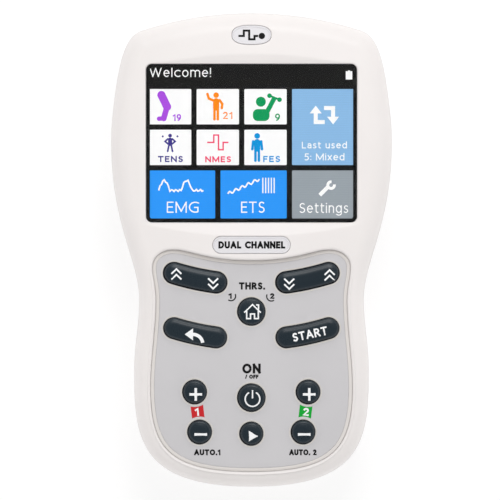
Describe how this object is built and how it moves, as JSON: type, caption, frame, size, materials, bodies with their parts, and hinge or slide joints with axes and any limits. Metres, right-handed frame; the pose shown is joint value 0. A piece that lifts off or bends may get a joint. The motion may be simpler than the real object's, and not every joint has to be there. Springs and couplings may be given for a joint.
{
  "type": "tens unit",
  "caption": "Handheld two-channel TENS and muscle stimulation unit with a colour display window, press and rocker keys, lead sockets in its top end and a sliding battery door",
  "frame": {"origin": "on the surface the unit lies on, under the middle of its box", "axes": "+X to the right of the face, +Y towards the end with the lead sockets, +Z out of the face; the unit lies on its back"},
  "size_m": [0.0844, 0.1422, 0.03],
  "materials": {
    "shell_plastic": "fine satin moulded plastic, warm white",
    "plate_plastic": "matt painted plastic, light grey",
    "key_plastic": "silky slate-blue keys",
    "window_plastic": "clear polished window with a dark printed border",
    "display_glass": "dark display glass",
    "holder_plastic": "matt black moulded plastic",
    "flex_film": "amber polyimide film",
    "badge_plastic": "pale silver inlay",
    "mat_rubber": "matt silicone rubber",
    "carbon_rubber": "conductive carbon rubber",
    "board_laminate": "green solder-masked laminate",
    "component_plastic": "matt black component mouldings",
    "transformer_core": "dark ferrite",
    "cell_jacket": "printed cell jacket over a metal can",
    "contact_steel": "nickel-plated spring steel",
    "screw_steel": "zinc-plated steel",
    "socket_red": "red moulded plastic",
    "socket_green": "green moulded plastic",
    "socket_black": "black moulded plastic"
  },
  "bodies": {
    "case": {"front_housing": "shell_plastic", "rear_housing": "shell_plastic", "face_plate": "plate_plastic", "display_window": "window_plastic", "display_panel": "display_glass", "display_frame": "holder_plastic", "display_flex": "flex_film", "badge": "badge_plastic", "name_plate": "badge_plastic", "keypad_mat": "mat_rubber", "main_board": "board_laminate", "controller_chip": "component_plastic", "buzzer": "component_plastic", "transformer_1": "transformer_core", "transformer_2": "transformer_core", "battery_cell_1": "cell_jacket", "battery_cell_2": "cell_jacket", "battery_cell_3": "cell_jacket", "battery_cell_4": "cell_jacket", "battery_spring_1": "contact_steel", "battery_spring_2": "contact_steel", "battery_spring_3": "contact_steel", "battery_spring_4": "contact_steel", "contact_link_lower_1": "contact_steel", "contact_link_lower_2": "contact_steel", "contact_link_upper": "contact_steel", "contact_positive": "contact_steel", "contact_negative": "contact_steel", "housing_screw_1": "screw_steel", "housing_screw_2": "screw_steel", "housing_screw_3": "screw_steel", "housing_screw_4": "screw_steel", "lead_socket_1": "socket_red", "lead_socket_2": "socket_green", "reference_socket": "socket_black"},
    "battery_door": {"battery_door": "shell_plastic"},
    "key_home": {"key_home": "key_plastic", "pill_home": "carbon_rubber"},
    "key_power": {"key_power": "key_plastic", "pill_power": "carbon_rubber"},
    "key_play": {"key_play": "key_plastic", "pill_play": "carbon_rubber"},
    "key_plus_1": {"key_plus_1": "key_plastic", "pill_plus_1": "carbon_rubber"},
    "key_minus_1": {"key_minus_1": "key_plastic", "pill_minus_1": "carbon_rubber"},
    "key_plus_2": {"key_plus_2": "key_plastic", "pill_plus_2": "carbon_rubber"},
    "key_minus_2": {"key_minus_2": "key_plastic", "pill_minus_2": "carbon_rubber"},
    "key_back": {"key_back": "key_plastic", "pill_back": "carbon_rubber"},
    "key_start": {"key_start": "key_plastic", "pill_start": "carbon_rubber"},
    "key_threshold_1": {"key_threshold_1": "key_plastic", "pill_threshold_1_inner": "carbon_rubber", "pill_threshold_1_outer": "carbon_rubber"},
    "key_threshold_2": {"key_threshold_2": "key_plastic", "pill_threshold_2_inner": "carbon_rubber", "pill_threshold_2_outer": "carbon_rubber"}
  },
  "joints": [
    {"name": "battery_door_slide", "type": "slide", "parent": "case", "child": "battery_door", "axis": [0, -1, 0], "range_m": [0, 0.06]},
    {"name": "home_press", "type": "slide", "parent": "case", "child": "key_home", "axis": [0, 0, -1], "range_m": [0, 0.0008], "stiffness_N_per_m": 1500, "springref_m": -0.0002},
    {"name": "power_press", "type": "slide", "parent": "case", "child": "key_power", "axis": [0, 0, -1], "range_m": [0, 0.0008], "stiffness_N_per_m": 1500, "springref_m": -0.0002},
    {"name": "play_press", "type": "slide", "parent": "case", "child": "key_play", "axis": [0, 0, -1], "range_m": [0, 0.0008], "stiffness_N_per_m": 1500, "springref_m": -0.0002},
    {"name": "plus_1_press", "type": "slide", "parent": "case", "child": "key_plus_1", "axis": [0, 0, -1], "range_m": [0, 0.0008], "stiffness_N_per_m": 1500, "springref_m": -0.0002},
    {"name": "minus_1_press", "type": "slide", "parent": "case", "child": "key_minus_1", "axis": [0, 0, -1], "range_m": [0, 0.0008], "stiffness_N_per_m": 1500, "springref_m": -0.0002},
    {"name": "plus_2_press", "type": "slide", "parent": "case", "child": "key_plus_2", "axis": [0, 0, -1], "range_m": [0, 0.0008], "stiffness_N_per_m": 1500, "springref_m": -0.0002},
    {"name": "minus_2_press", "type": "slide", "parent": "case", "child": "key_minus_2", "axis": [0, 0, -1], "range_m": [0, 0.0008], "stiffness_N_per_m": 1500, "springref_m": -0.0002},
    {"name": "back_press", "type": "slide", "parent": "case", "child": "key_back", "axis": [0, 0, -1], "range_m": [0, 0.0008], "stiffness_N_per_m": 1500, "springref_m": -0.0002},
    {"name": "start_press", "type": "slide", "parent": "case", "child": "key_start", "axis": [0, 0, -1], "range_m": [0, 0.0008], "stiffness_N_per_m": 1500, "springref_m": -0.0002},
    {"name": "threshold_1_rock", "type": "hinge", "parent": "case", "child": "key_threshold_1", "pos_m": [-0.01682, -0.00854, 0.026], "axis": [0.213, 0.9771, 0], "range_deg": [-4, 4], "stiffness_Nm_per_rad": 0.14},
    {"name": "threshold_2_rock", "type": "hinge", "parent": "case", "child": "key_threshold_2", "pos_m": [0.01682, -0.00854, 0.026], "axis": [-0.213, 0.9771, 0], "range_deg": [-4, 4], "stiffness_Nm_per_rad": 0.14}
  ]
}
